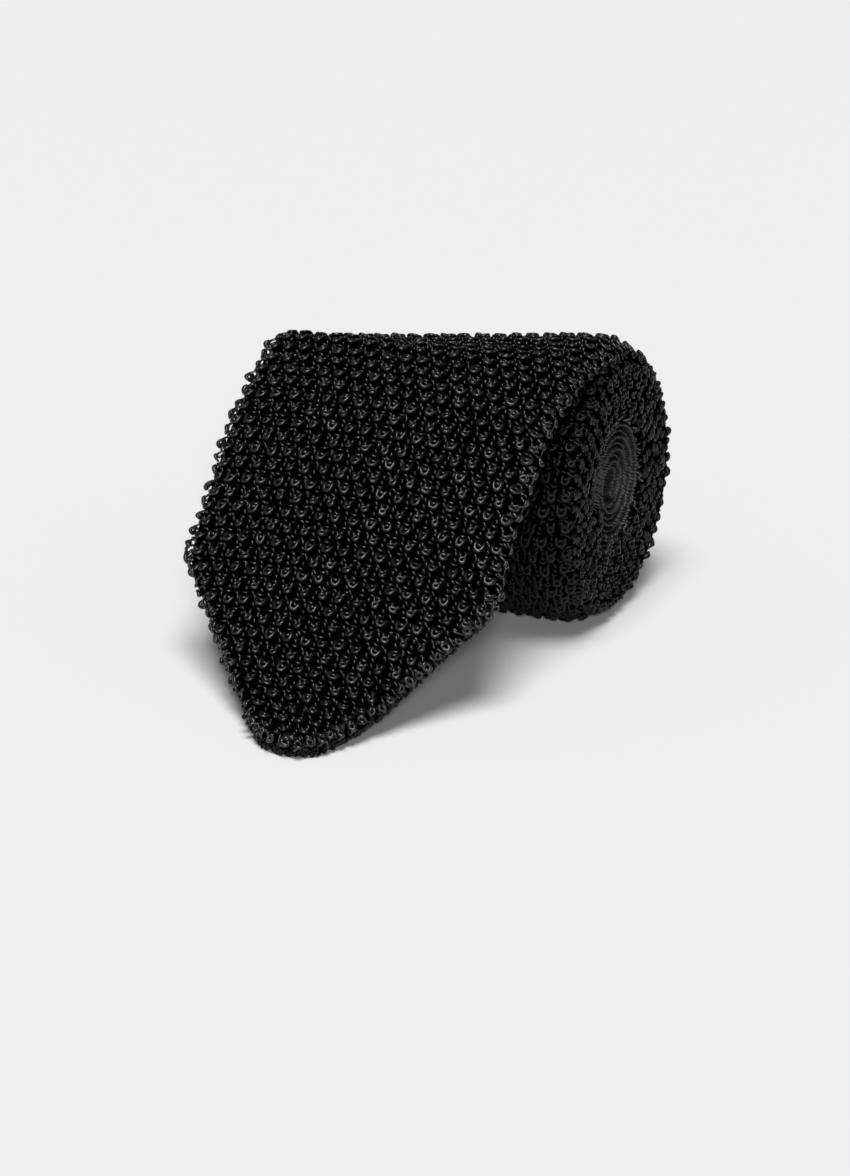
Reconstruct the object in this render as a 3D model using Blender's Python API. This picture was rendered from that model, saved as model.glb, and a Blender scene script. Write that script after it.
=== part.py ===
"""Rolled silk knit necktie.

The tie is folded in half at the neckband and rolled up from that fold, so the
neckband is the core and the blade and the tail wind round it together.  The
end of the blade leaves the top of the roll as a loose flap, which hangs
forward and rests on its pointed tip.

Frame: the roll's axis runs along X, the flap hangs towards -Y, and the part
stands on z = 0.  All lengths are in metres.
"""

from math import asin, atan2, cos, pi, radians, sin, sqrt, tan

import bmesh
import bpy
from mathutils import Vector

# Driving dimensions
BLADE_WIDTH = 0.064
TAIL_WIDTH = 0.052
NECKBAND_WIDTH = 0.030
NECKBAND_RECESS = 0.0015
CLOTH_THICKNESS = 0.00165
NECKBAND_THICKNESS = 0.0009
GAP = 0.0003

# Roll
NECKBAND_TURNS = 3.7
CLOTH_TURNS = 3.72
HOLE_RADIUS = 0.0020
ROLL_TAPER = 0.155
FOOT_HALF_WIDTH = 0.0055
FOOT_BLEND = radians(24)
SEAM_LENGTH = 0.0012

# Flap: it leaves the roll, bends down on a wide arc, runs straight and then
# bends back on a toe arc until its tip lies flat
LEAVE_ANGLE = radians(1)
CROWN_RADIUS = 0.0556
RAMP_ANGLE = radians(43)
RAMP_LENGTH = 0.0445
FLAP_LENGTH = 0.1140
FLAP_UNTAPER = 0.0147
FLAP_SIDE_STEP = -0.0018
TIP_SIDE_STEP = 0.0040
FLAP_BOW = -0.0046
FLAP_ARCH = 0.0033
DRIFT_LENGTH = 0.040
HINGE_SETBACK = 0.0009

# Pointed ends
TIP_LENGTH = 0.048
TIP_ROUND = 0.0085
HEM_WIDTH = 0.0040
HEM_THICKNESS = 0.0034

# Keeper loop on the back of the blade
KEEPER_LENGTH = 0.012
KEEPER_WIDTH = 0.036
KEEPER_THICKNESS = 0.0006
KEEPER_BACK_ANGLE = radians(19)
TACK_WIDTH = 0.0016

# Resolution
STEPS_PER_TURN = 48
FLAP_STEP = 0.0034
FLAP_COLUMNS = 8
HEM_STEPS = 20
TIP_STEP = 0.0007
BLUNT_END = 0.0004

NECK_PITCH = 2 * (NECKBAND_THICKNESS + GAP)
CLOTH_PITCH = 2 * (CLOTH_THICKNESS + GAP)
HALF_WIDTH = BLADE_WIDTH / 2
TIP_HALF_ANGLE = atan2(HALF_WIDTH, TIP_LENGTH)

END_ANGLE = pi / 2 + LEAVE_ANGLE
SEAM_ANGLE = END_ANGLE - 2 * pi * CLOTH_TURNS
FOLD_ANGLE = SEAM_ANGLE - 2 * pi * NECKBAND_TURNS
FOLD_RADIUS = HOLE_RADIUS + NECKBAND_THICKNESS + GAP / 2
FOOT_ANGLE = -pi / 2


def smooth(value):
    """Ease from 0 to 1."""
    value = min(max(value, 0.0), 1.0)
    return value * value * (3 - 2 * value)


def spread(first, last, most):
    """Values from first to last, in equal steps no longer than most."""
    count = max(1, int(abs(last - first) / most + 0.999))
    return [first + (last - first) * i / count for i in range(count + 1)]


# ---------------------------------------------------------------- the roll

def neck_radius(angle):
    """Middle of the folded pair of neckband layers."""
    return FOLD_RADIUS + NECK_PITCH * (angle - FOLD_ANGLE) / (2 * pi)


def cloth_radius(angle):
    """Middle of the pair of blade and tail layers."""
    start = neck_radius(SEAM_ANGLE) + CLOTH_THICKNESS - NECKBAND_THICKNESS
    return start + CLOTH_PITCH * (angle - SEAM_ANGLE) / (2 * pi)


def tail_radius(angle):
    return cloth_radius(angle) - (CLOTH_THICKNESS + GAP) / 2


def round_blade_radius(angle):
    return cloth_radius(angle) + (CLOTH_THICKNESS + GAP) / 2


FOOT_RADIUS = round_blade_radius(FOOT_ANGLE)
FOOT_HALF_ANGLE = asin(FOOT_HALF_WIDTH / FOOT_RADIUS)
AXIS_HEIGHT = FOOT_RADIUS + cos(FOOT_HALF_ANGLE) * CLOTH_THICKNESS / 2


def blade_radius(angle):
    """The blade's last turn lies flat where it stands on the surface."""
    off_foot = angle - FOOT_ANGLE
    flat = min(max(off_foot, -FOOT_HALF_ANGLE), FOOT_HALF_ANGLE)
    rise = FOOT_RADIUS / cos(flat) - round_blade_radius(FOOT_ANGLE + flat)
    return round_blade_radius(angle) + rise * (1 - smooth(abs(off_foot - flat) / FOOT_BLEND))


def squeeze(x):
    """The roll is slimmer towards its left end, where it has no neckband."""
    return 1 - ROLL_TAPER * (HALF_WIDTH - x) / BLADE_WIDTH


def tapered(x, y, z, weight=1.0):
    scale = 1 + weight * (squeeze(x) - 1)
    return Vector((x, y * scale, z * scale))


def roll_point(x, angle, radius):
    return tapered(x, radius * cos(angle), AXIS_HEIGHT + radius * sin(angle))


# ---------------------------------------------------------------- the flap

def flap_profile(run):
    """Place and slope of the flap's middle line, in the plane across the roll."""
    radius = round_blade_radius(END_ANGLE)
    y = -radius * sin(LEAVE_ANGLE)
    z = AXIS_HEIGHT + radius * cos(LEAVE_ANGLE)
    slope = LEAVE_ANGLE

    crown_length = CROWN_RADIUS * (RAMP_ANGLE - LEAVE_ANGLE)
    part = min(run, crown_length)
    slope_now = LEAVE_ANGLE + part / CROWN_RADIUS
    y -= CROWN_RADIUS * (sin(slope_now) - sin(slope))
    z -= CROWN_RADIUS * (cos(slope) - cos(slope_now))
    slope = slope_now

    part = min(max(run - crown_length, 0.0), RAMP_LENGTH)
    y -= part * cos(slope)
    z -= part * sin(slope)

    part = run - crown_length - RAMP_LENGTH
    if part > 0:
        toe_radius = (z - HEM_THICKNESS + CLOTH_THICKNESS / 2) / (1 - cos(RAMP_ANGLE))
        turned = min(part / toe_radius, RAMP_ANGLE)
        slope_now = RAMP_ANGLE - turned
        y -= toe_radius * (sin(RAMP_ANGLE) - sin(slope_now))
        z -= toe_radius * (cos(slope_now) - cos(RAMP_ANGLE))
        y -= part - turned * toe_radius
        slope = slope_now
    return y, z, slope


def side_step(run):
    """The blade's end wanders sideways; run is counted from where it leaves the roll."""
    if run < 0:
        return FLAP_SIDE_STEP * smooth(1 + run / DRIFT_LENGTH)
    share = run / FLAP_LENGTH
    return FLAP_SIDE_STEP + (TIP_SIDE_STEP - FLAP_SIDE_STEP) * share + FLAP_BOW * 4 * share * (1 - share)


def flap_point(run, across, lift):
    """A point of the flap, lift above its middle surface; half way down, its sides droop."""
    y, z, slope = flap_profile(run)
    share = run / FLAP_LENGTH
    droop = 4 * share * (1 - share) * (1 - smooth((share - 0.78) / 0.14))
    lift -= FLAP_ARCH * droop * (across / HALF_WIDTH) ** 2
    weight = 1 - smooth(run / FLAP_UNTAPER)
    x = side_step(run) + across
    return tapered(x, y - lift * sin(slope), z + lift * cos(slope), weight)


def tip_half_width(run, inset, half_width, length):
    """Half the width of a pointed end whose outline is moved in by inset."""
    centre = length - TIP_ROUND / sin(TIP_HALF_ANGLE)
    radius = TIP_ROUND - inset
    if run > centre + radius * sin(TIP_HALF_ANGLE):
        return sqrt(max(radius ** 2 - (run - centre) ** 2, 0.0))
    slant = (length - run) * tan(TIP_HALF_ANGLE) - inset / cos(TIP_HALF_ANGLE)
    return min(half_width, slant)


def tip_runs(inset, half_width, length):
    """Rows over a pointed end: even down the slants, close together round the tip."""
    corner = length - half_width / tan(TIP_HALF_ANGLE) - inset / sin(TIP_HALF_ANGLE)
    centre = length - TIP_ROUND / sin(TIP_HALF_ANGLE)
    round_start = centre + (TIP_ROUND - inset) * sin(TIP_HALF_ANGLE)
    last = tip_end(inset, length) - BLUNT_END
    return spread(corner, round_start, FLAP_STEP)[:-1] + spread(round_start, last, TIP_STEP)


def tip_end(inset, length):
    """How far a pointed end reaches, with its outline moved in by inset."""
    return length - TIP_ROUND / sin(TIP_HALF_ANGLE) + TIP_ROUND - inset


# ---------------------------------------------------------------- building

def material(name, colour, roughness):
    made = bpy.data.materials.new(name)
    made.use_nodes = True
    shader = made.node_tree.nodes["Principled BSDF"]
    shader.inputs["Base Color"].default_value = (*colour, 1)
    shader.inputs["Roughness"].default_value = roughness
    return made


def loft(name, rings, finish, collection):
    """A closed solid through rings of points, with a cap on each end."""
    mesh = bmesh.new()
    rows = [[mesh.verts.new(point) for point in ring] for ring in rings]
    count = len(rows[0])
    for first, second in zip(rows, rows[1:]):
        for i in range(count):
            j = (i + 1) % count
            mesh.faces.new((first[i], first[j], second[j], second[i]))
    mesh.faces.new(list(reversed(rows[0])))
    mesh.faces.new(rows[-1])
    bmesh.ops.recalc_face_normals(mesh, faces=mesh.faces)
    data = bpy.data.meshes.new(name)
    mesh.to_mesh(data)
    mesh.free()
    data.materials.append(finish)
    data.shade_smooth()
    data.set_sharp_from_angle(angle=radians(35))
    made = bpy.data.objects.new(name, data)
    collection.objects.link(made)
    return made


def ribbon_ring(left, right, angle, radius, thickness):
    """Section of a wound layer: inner face left to right, outer face back."""
    inner = radius - thickness / 2
    outer = radius + thickness / 2
    return [roll_point(left, angle, inner), roll_point(right, angle, inner),
            roll_point(right, angle, outer), roll_point(left, angle, outer)]


TURN_STEP = 2 * pi / STEPS_PER_TURN


def angle_for(length, radius):
    return length / radius


def blade_angles():
    """Angles of the blade's wound sections, with two on the edges of the foot."""
    start = SEAM_ANGLE + angle_for(SEAM_LENGTH / 2 + GAP, cloth_radius(SEAM_ANGLE))
    end = END_ANGLE - angle_for(HINGE_SETBACK, round_blade_radius(END_ANGLE))
    near = FOOT_ANGLE - FOOT_HALF_ANGLE
    far = FOOT_ANGLE + FOOT_HALF_ANGLE
    before = spread(start, near, TURN_STEP)
    after = spread(far, end, TURN_STEP)
    return before + after


def make_blade_turns(finish, collection):
    rings = []
    for angle in blade_angles():
        radius = blade_radius(angle) if angle > FOOT_ANGLE - pi else round_blade_radius(angle)
        run = (angle - END_ANGLE) * round_blade_radius(END_ANGLE)
        step = side_step(run)
        rings.append(ribbon_ring(step - HALF_WIDTH, step + HALF_WIDTH, angle, radius, CLOTH_THICKNESS))
    return loft("blade_wound_turns", rings, finish, collection)


def make_flap(finish, collection):
    inset = HEM_WIDTH + GAP
    tip = tip_runs(inset, HALF_WIDTH, FLAP_LENGTH)
    rings = []
    for run in spread(HINGE_SETBACK, tip[0], FLAP_STEP)[:-1] + tip:
        half = tip_half_width(run, inset, HALF_WIDTH, FLAP_LENGTH)
        across = [half * (2 * i / FLAP_COLUMNS - 1) for i in range(FLAP_COLUMNS + 1)]
        top = [flap_point(run, u, CLOTH_THICKNESS / 2) for u in across]
        under = [flap_point(run, u, -CLOTH_THICKNESS / 2) for u in across]
        rings.append(top + under[::-1])
    return loft("blade_front_flap", rings, finish, collection)


def tip_outline(inset, half_width, length):
    """Points of a pointed end from its left corner round its tip to its right corner."""
    half_angle = TIP_HALF_ANGLE
    centre = length - TIP_ROUND / sin(half_angle)
    radius = TIP_ROUND - inset
    corner_run = length - half_width / tan(half_angle) - inset / sin(half_angle)
    join_run = centre + radius * sin(half_angle)
    join_across = radius * cos(half_angle)
    slant = []
    for i in range(HEM_STEPS):
        share = i / HEM_STEPS
        slant.append((corner_run + (join_run - corner_run) * share,
                      half_width + (join_across - half_width) * share))
    left = [(run, -across) for run, across in slant]
    arc = []
    for i in range(HEM_STEPS + 1):
        turn = (half_angle - pi / 2) * (1 - 2 * i / HEM_STEPS)
        arc.append((centre + radius * cos(turn), radius * sin(turn)))
    right = [(run, across) for run, across in reversed(slant)]
    return left + arc + right


def make_tip_hem(finish, collection):
    outer = tip_outline(0.0, HALF_WIDTH, FLAP_LENGTH)
    inner = tip_outline(HEM_WIDTH, HALF_WIDTH, FLAP_LENGTH)
    top = CLOTH_THICKNESS / 2
    under = top - HEM_THICKNESS
    rings = []
    for (out_run, out_across), (in_run, in_across) in zip(outer, inner):
        rings.append([flap_point(out_run, out_across, top), flap_point(in_run, in_across, top),
                      flap_point(in_run, in_across, under), flap_point(out_run, out_across, under)])
    return loft("blade_tip_hem", rings, finish, collection)


# ---------------------------------------------------------------- the tail

TAIL_CENTRE = HALF_WIDTH - TAIL_WIDTH / 2
TAIL_END_ANGLE = END_ANGLE - radians(35)


def tail_place(run):
    """Angle on the roll of a point run behind the tail's sharp tip."""
    return TAIL_END_ANGLE - run / tail_radius(TAIL_END_ANGLE)


def tail_ring(run, low, high, thickness):
    angle = tail_place(run)
    return ribbon_ring(TAIL_CENTRE + low, TAIL_CENTRE + high, angle, tail_radius(angle), thickness)


def make_tail(finish, collection):
    half = TAIL_WIDTH / 2
    inset = HEM_WIDTH + GAP
    start = SEAM_ANGLE + angle_for(SEAM_LENGTH / 2 + GAP, cloth_radius(SEAM_ANGLE))
    tip = tip_runs(inset, half, TIP_LENGTH)
    rings = []
    for angle in spread(start, tail_place(TIP_LENGTH - tip[0]), TURN_STEP)[:-1]:
        rings.append(ribbon_ring(TAIL_CENTRE - half, TAIL_CENTRE + half, angle,
                                 tail_radius(angle), CLOTH_THICKNESS))
    for run in tip:
        wide = tip_half_width(run, inset, half, TIP_LENGTH)
        rings.append(tail_ring(TIP_LENGTH - run, -wide, wide, CLOTH_THICKNESS))
    return loft("tail", rings, finish, collection)


def make_tail_hem(finish, collection):
    half = TAIL_WIDTH / 2
    outer = tip_outline(0.0, half, TIP_LENGTH)
    inner = tip_outline(HEM_WIDTH, half, TIP_LENGTH)
    rings = []
    for (out_run, out_across), (in_run, in_across) in zip(outer, inner):
        corners = []
        for run, across, lift in ((out_run, out_across, 0.5), (in_run, in_across, 0.5),
                                  (in_run, in_across, -0.5), (out_run, out_across, -0.5)):
            angle = tail_place(TIP_LENGTH - run)
            corners.append(roll_point(TAIL_CENTRE + across, angle,
                                      tail_radius(angle) + lift * CLOTH_THICKNESS))
        rings.append(corners)
    return loft("tail_tip_hem", rings, finish, collection)


# ---------------------------------------------------------------- the neckband

def make_neckband(finish, collection):
    """Both halves of the neckband and the fold between them, at the roll's core."""
    right = HALF_WIDTH - NECKBAND_RECESS
    left = right - NECKBAND_WIDTH
    offset = (NECKBAND_THICKNESS + GAP) / 2
    end = SEAM_ANGLE - angle_for(SEAM_LENGTH / 2 + GAP, neck_radius(SEAM_ANGLE))
    turns = spread(end, FOLD_ANGLE, TURN_STEP)
    half = NECKBAND_THICKNESS / 2
    rings = []
    for angle in turns:
        rings.append(ribbon_ring(left, right, angle, neck_radius(angle) - offset, NECKBAND_THICKNESS))
    steps = 8
    for i in range(1, steps):
        turn = pi * i / steps
        inner = FOLD_RADIUS - (offset - half) * cos(turn)
        outer = FOLD_RADIUS - (offset + half) * cos(turn)
        inner_angle = FOLD_ANGLE - (offset - half) * sin(turn) / FOLD_RADIUS
        outer_angle = FOLD_ANGLE - (offset + half) * sin(turn) / FOLD_RADIUS
        rings.append([roll_point(left, outer_angle, outer), roll_point(right, outer_angle, outer),
                      roll_point(right, inner_angle, inner), roll_point(left, inner_angle, inner)])
    for angle in reversed(turns):
        ring = ribbon_ring(left, right, angle, neck_radius(angle) + offset, NECKBAND_THICKNESS)
        rings.append([ring[3], ring[2], ring[1], ring[0]])
    return loft("neckband", rings, finish, collection)


def make_seam(name, side, finish, collection):
    """The row of joining stitches between the neckband and the blade or tail."""
    right = HALF_WIDTH - NECKBAND_RECESS
    left = right - NECKBAND_WIDTH
    radius = neck_radius(SEAM_ANGLE) + side * (NECKBAND_THICKNESS + GAP) / 2
    if side > 0:
        radius += (CLOTH_THICKNESS - NECKBAND_THICKNESS) / 2
    half = angle_for(SEAM_LENGTH / 2, radius)
    rings = [ribbon_ring(left, right, angle, radius, NECKBAND_THICKNESS)
             for angle in spread(SEAM_ANGLE - half, SEAM_ANGLE + half, half)]
    return loft(name, rings, finish, collection)


# ---------------------------------------------------------------- the keeper

def keeper_radius(angle):
    """Middle of the free space under the blade's last turn, past the tail's end."""
    below = round_blade_radius(angle - 2 * pi) + CLOTH_THICKNESS / 2
    above = round_blade_radius(angle) - CLOTH_THICKNESS / 2
    return (below + above) / 2


def make_keeper(finish, thread, collection):
    middle = END_ANGLE - KEEPER_BACK_ANGLE
    half = angle_for(KEEPER_LENGTH / 2, keeper_radius(middle))
    angles = spread(middle - half, middle + half, TURN_STEP / 2)
    rings = [ribbon_ring(-KEEPER_WIDTH / 2, KEEPER_WIDTH / 2, angle, keeper_radius(angle), KEEPER_THICKNESS)
             for angle in angles]
    loft("keeper_loop", rings, finish, collection)
    for name, side in (("keeper_tack_left", -1), ("keeper_tack_right", 1)):
        near = side * (KEEPER_WIDTH / 2 + GAP)
        far = near + side * TACK_WIDTH
        low, high = min(near, far), max(near, far)
        rings = [ribbon_ring(low, high, angle, keeper_radius(angle), KEEPER_THICKNESS) for angle in angles]
        loft(name, rings, thread, collection)


# ---------------------------------------------------------------- the part

def main():
    for old in list(bpy.data.objects):
        bpy.data.objects.remove(old, do_unlink=True)
    collection = bpy.data.collections.new("necktie")
    bpy.context.scene.collection.children.link(collection)

    knit = material("black_bobble_knit", (0.010, 0.010, 0.012), 0.62)
    rib = material("black_fine_rib", (0.014, 0.014, 0.017), 0.70)
    thread = material("black_thread", (0.012, 0.012, 0.014), 0.50)

    make_blade_turns(knit, collection)
    make_flap(knit, collection)
    make_tip_hem(rib, collection)
    make_tail(knit, collection)
    make_tail_hem(rib, collection)
    make_neckband(rib, collection)
    make_seam("blade_to_neckband_seam", 1, thread, collection)
    make_seam("tail_to_neckband_seam", -1, thread, collection)
    make_keeper(rib, thread, collection)


main()
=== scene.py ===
"""Rolled black knit necktie: yarn, hems, rib, materials, light and camera.

The cloth is built stitch by stitch.  A stitch is modelled once in its own flat
frame, in metres: u across the cloth, v along it towards the tip, w out of it.
Copies of it are then laid over the wound or hanging cloth.
"""

from math import cos, pi, radians, sin

import bpy
import numpy as np
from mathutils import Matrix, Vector


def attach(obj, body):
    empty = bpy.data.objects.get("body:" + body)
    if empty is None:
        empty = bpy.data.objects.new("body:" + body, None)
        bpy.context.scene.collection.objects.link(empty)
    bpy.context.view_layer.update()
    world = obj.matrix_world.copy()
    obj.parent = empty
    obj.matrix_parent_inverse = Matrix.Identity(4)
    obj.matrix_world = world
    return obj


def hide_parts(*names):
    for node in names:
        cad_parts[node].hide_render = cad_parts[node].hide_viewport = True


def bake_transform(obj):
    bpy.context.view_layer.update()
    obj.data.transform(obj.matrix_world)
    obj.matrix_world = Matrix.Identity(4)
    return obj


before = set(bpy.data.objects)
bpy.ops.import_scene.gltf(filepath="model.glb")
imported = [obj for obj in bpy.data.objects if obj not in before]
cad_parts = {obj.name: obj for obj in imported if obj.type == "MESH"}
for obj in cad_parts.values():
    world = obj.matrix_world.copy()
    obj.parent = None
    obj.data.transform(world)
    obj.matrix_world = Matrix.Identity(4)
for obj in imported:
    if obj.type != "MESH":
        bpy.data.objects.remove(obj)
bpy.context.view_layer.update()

# ---------------------------------------------------------------- the part's own dimensions

BLADE_WIDTH = 0.064
TAIL_WIDTH = 0.052
NECKBAND_WIDTH = 0.030
NECKBAND_RECESS = 0.0015
CLOTH_THICKNESS = 0.00165
NECKBAND_THICKNESS = 0.0009
GAP = 0.0003

NECKBAND_TURNS = 3.7
CLOTH_TURNS = 3.72
HOLE_RADIUS = 0.0020
ROLL_TAPER = 0.155
FOOT_HALF_WIDTH = 0.0055
FOOT_BLEND = radians(24)

LEAVE_ANGLE = radians(1)
CROWN_RADIUS = 0.0556
RAMP_ANGLE = radians(43)
RAMP_LENGTH = 0.0445
FLAP_LENGTH = 0.1140
FLAP_UNTAPER = 0.0147
FLAP_SIDE_STEP = -0.0018
TIP_SIDE_STEP = 0.0040
FLAP_BOW = -0.0046
FLAP_ARCH = 0.0033
DRIFT_LENGTH = 0.040
SEAM_LENGTH = 0.0012

TIP_LENGTH = 0.048
TIP_ROUND = 0.0085
HEM_WIDTH = 0.0040
HEM_THICKNESS = 0.0034

NECK_PITCH = 2 * (NECKBAND_THICKNESS + GAP)
CLOTH_PITCH = 2 * (CLOTH_THICKNESS + GAP)
HALF_WIDTH = BLADE_WIDTH / 2
TIP_HALF_ANGLE = np.arctan2(HALF_WIDTH, TIP_LENGTH)
END_ANGLE = pi / 2 + LEAVE_ANGLE
SEAM_ANGLE = END_ANGLE - 2 * pi * CLOTH_TURNS
FOLD_ANGLE = SEAM_ANGLE - 2 * pi * NECKBAND_TURNS
FOLD_RADIUS = HOLE_RADIUS + NECKBAND_THICKNESS + GAP / 2
FOOT_ANGLE = -pi / 2
TAIL_END_ANGLE = END_ANGLE - radians(35)
TAIL_CENTRE = HALF_WIDTH - TAIL_WIDTH / 2
KEEPER_LENGTH = 0.012
KEEPER_WIDTH = 0.036
KEEPER_THICKNESS = 0.0006
KEEPER_BACK_ANGLE = radians(19)
TACK_WIDTH = 0.0016

# ---------------------------------------------------------------- the knit

COLUMNS = 18
COLUMN_PITCH = 0.00358
ROW_PITCH = 0.00318
STAGGER = 0.21
MM = 0.001

# The right edge curls in, most on the last turn and where the turns hang free
EDGE_CURL = 0.0013
EDGE_CURL_LENGTH = 0.008
EDGE_SAG = 1.5
SAG_ANGLE = 0.3
LAST_CURL = 0.0017
LAST_CURL_START = radians(130)
LAST_CURL_BLEND = radians(60)

# The flap's arch across its width fades out towards the tip, as shares of its length
ARCH_FADE_START = 0.78
ARCH_FADE_LENGTH = 0.14

# The edges' bobbles: how they wander, spread and are pressed in
EDGE_INSET = 0.55 * MM
EDGE_RIPPLE = 0.0003
RIPPLE_LENGTHS = (23 * MM, 9.1 * MM)
EDGE_BULGE = 0.0016
RIGHT_EDGE_SQUASH = 0.70
LEFT_EDGE_REACH = 0.0007
EDGE_WOBBLE = 1.6
EDGE_STOP = 0.4 * MM
CORNER_OVERLAP = 1.2 * MM
TAIL_EDGE_STOP = 4 * MM

# The faces' stitches follow the rounded edges of the cloth
FACE_MARGIN = 1.5 * MM
TIP_MARGIN = 0.5 * MM
HEM_OVERLAP = 0.6 * MM
EDGE_ROUNDING = 0.0018
EDGE_DROP = 0.0006
STITCH_BASE = 0.46 * MM
LEG_DROP = 0.1 * MM
LEG_SHIFT = 0.35 * MM

# How much one stitch differs from the next, as standard deviations
SPIN_SPREAD = 0.20
SIZE_SPREAD = 0.08
SHIFT_SPREAD = 0.13 * MM
LEAN_SPREAD = 0.13
MOST_SPREAD = 1.6

# Radii of the yarn in each part of a stitch
BOBBLE_YARN = 0.37 * MM
LEG_YARN = 0.30 * MM
TIE_YARN = 0.28 * MM
LOOP_YARN = 0.25 * MM
SUNK_YARN = 0.24 * MM
EDGE_YARN = 0.39 * MM
YARN_END = 0.45
RING_STEPS = 16
ARC_STEPS = 14
SIDES = 6
THIN_SIDES = 5

# The ground cloth under the stitches, painted near black as the shade between them; its last three
# heights are in millimetres
GROUND_INSET = 0.5 * MM
GROUND_ROUNDING = 0.9 * MM
GROUND_OVERLAP = 0.2 * MM
GROUND_TIP_INSET = 1.2 * MM
FLAP_TIP_GAP = 1.6 * MM
TAIL_TIP_GAP = 1.0 * MM
GROUND_HEIGHT = 0.46
COURSE_HEIGHT = 0.09
WALE_HEIGHT = 0.07

# How many rows of stitches line what can be looked into at the left end
RECESS_ROWS = 28
CORE_WALL_ROWS = 24

# The hem, its loops in lanes at these angles round it, and the bobbles over its rim
HEM_CLEARANCE = 0.15 * MM
HEM_ROUGHNESS = 0.04 * MM
HEM_STEP = 0.35 * MM
HEM_SIDES = 20
HEM_FULLNESS = 0.6
HEM_FADE = 4 * MM
HEM_FADE_LEAD = 1.0 * MM
HEM_END_WIDTH = 0.4
HEM_LOOP_PITCH = 0.98 * MM
HEM_LOOP_SINK = 0.2 * MM
HEM_LANES = np.radians([8, -12, -34, -58, -82, -105, -140])
HEM_WOBBLE = 2.4
RIM_SIZE = 0.86
RIM_SINK = 0.22 * MM
RIM_DROP = 0.25 * MM
RIM_TILT = radians(38)
RIM_WOBBLE = 2.2

# The neckband's ribs and its dished core
CORE_FUNNEL = 0.0009
CORE_LAYER_STEP = 0.0005
NECKBAND_REACH = 0.4 * MM
NECKBAND_UNEVEN = 0.30 * MM
NECKBAND_RIB = 0.00070
NECKBAND_STOP = 0.0009
RIB_TEETH = 0.45 * MM
RIB_SIDES = 24
RIB_FLATNESS = 0.28
RIB_FULLNESS = 0.75

# The thread of the seams and the tacks
THREAD_RADIUS = 0.00012
SEWING_WOBBLE = 0.3

# What would go under the surface is pressed into this height above it
FLOOR_PRESS = 0.00015
FLOOR_SHARE = 0.08
FLOOR_LEAST = 0.00002

# The yarn's fibres: their shades against the yarn's colour, and how rough they make it
DARK_FIBRE = 0.55
LIGHT_FIBRE = 1.6
FIBRE_BUMP = 0.5
FIBRE_DEPTH = 0.00012
PATCH_SCALE = 90
PATCH_ROUGHNESS = 0.09

# ---------------------------------------------------------------- the camera

FOCAL = 153.06
CAMERA_DISTANCE = 0.9813
CAMERA_AZIMUTH = radians(23.63)
CAMERA_ELEVATION = radians(20)
CAMERA_TARGET = Vector((0, 0, 0.0289))
CAMERA_RIGHT = 0.00883
CAMERA_UP = 0.0266
SENSOR_WIDTH = 36

# ---------------------------------------------------------------- the light

FLOOR_SIZE = 6.0
FLOOR_COLOUR = 0.82
WORLD_STRENGTH = 0.09
# Name, azimuth and elevation in degrees, angular size in degrees, strength
SUNS = [("front_key", 26, 25, 9, 1.15), ("overhead", 22, 73, 30, 2.71)]


def smooth(value):
    value = np.clip(value, 0.0, 1.0)
    return value * value * (3 - 2 * value)


# ---------------------------------------------------------------- the cloth's surfaces

def neck_radius(angle):
    return FOLD_RADIUS + NECK_PITCH * (angle - FOLD_ANGLE) / (2 * pi)


def cloth_radius(angle):
    start = neck_radius(SEAM_ANGLE) + CLOTH_THICKNESS - NECKBAND_THICKNESS
    return start + CLOTH_PITCH * (angle - SEAM_ANGLE) / (2 * pi)


def tail_radius(angle):
    return cloth_radius(angle) - (CLOTH_THICKNESS + GAP) / 2


def round_blade_radius(angle):
    return cloth_radius(angle) + (CLOTH_THICKNESS + GAP) / 2


FOOT_RADIUS = round_blade_radius(FOOT_ANGLE)
FOOT_HALF_ANGLE = float(np.arcsin(FOOT_HALF_WIDTH / FOOT_RADIUS))
AXIS_HEIGHT = FOOT_RADIUS + cos(FOOT_HALF_ANGLE) * CLOTH_THICKNESS / 2
END_RADIUS = round_blade_radius(END_ANGLE)


def blade_radius(angle):
    """The blade's last turn lies flat where it stands on the surface."""
    off_foot = angle - FOOT_ANGLE
    flat = np.clip(off_foot, -FOOT_HALF_ANGLE, FOOT_HALF_ANGLE)
    rise = FOOT_RADIUS / np.cos(flat) - round_blade_radius(FOOT_ANGLE + flat)
    ease = 1 - smooth(np.abs(off_foot - flat) / FOOT_BLEND)
    return round_blade_radius(angle) + rise * ease * (off_foot > -pi)


def squeeze(x):
    """The roll is slimmer towards its left end."""
    return 1 - ROLL_TAPER * (HALF_WIDTH - x) / BLADE_WIDTH


def tapered(x, y, z, weight=1.0):
    scale = 1 + weight * (squeeze(x) - 1)
    return np.stack([x, y * scale, z * scale], axis=-1)


def edge_curl(x):
    """Rises from 0 to 1 where the cloth's right edge curls in."""
    return smooth((x - HALF_WIDTH + EDGE_CURL_LENGTH) / EDGE_CURL_LENGTH)


def roll_point(x, angle, radius):
    """A point of the roll, tapered and with its right edge curled in."""
    sag = 1 + EDGE_SAG * np.clip(-np.sin(angle + SAG_ANGLE), 0.0, 1.0)
    loose = LAST_CURL * smooth((angle - END_ANGLE + LAST_CURL_START) / LAST_CURL_BLEND)
    radius = radius - edge_curl(x) * (EDGE_CURL * sag * (radius / END_RADIUS) ** 2 + loose)
    return tapered(x, radius * np.cos(angle), AXIS_HEIGHT + radius * np.sin(angle))


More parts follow.
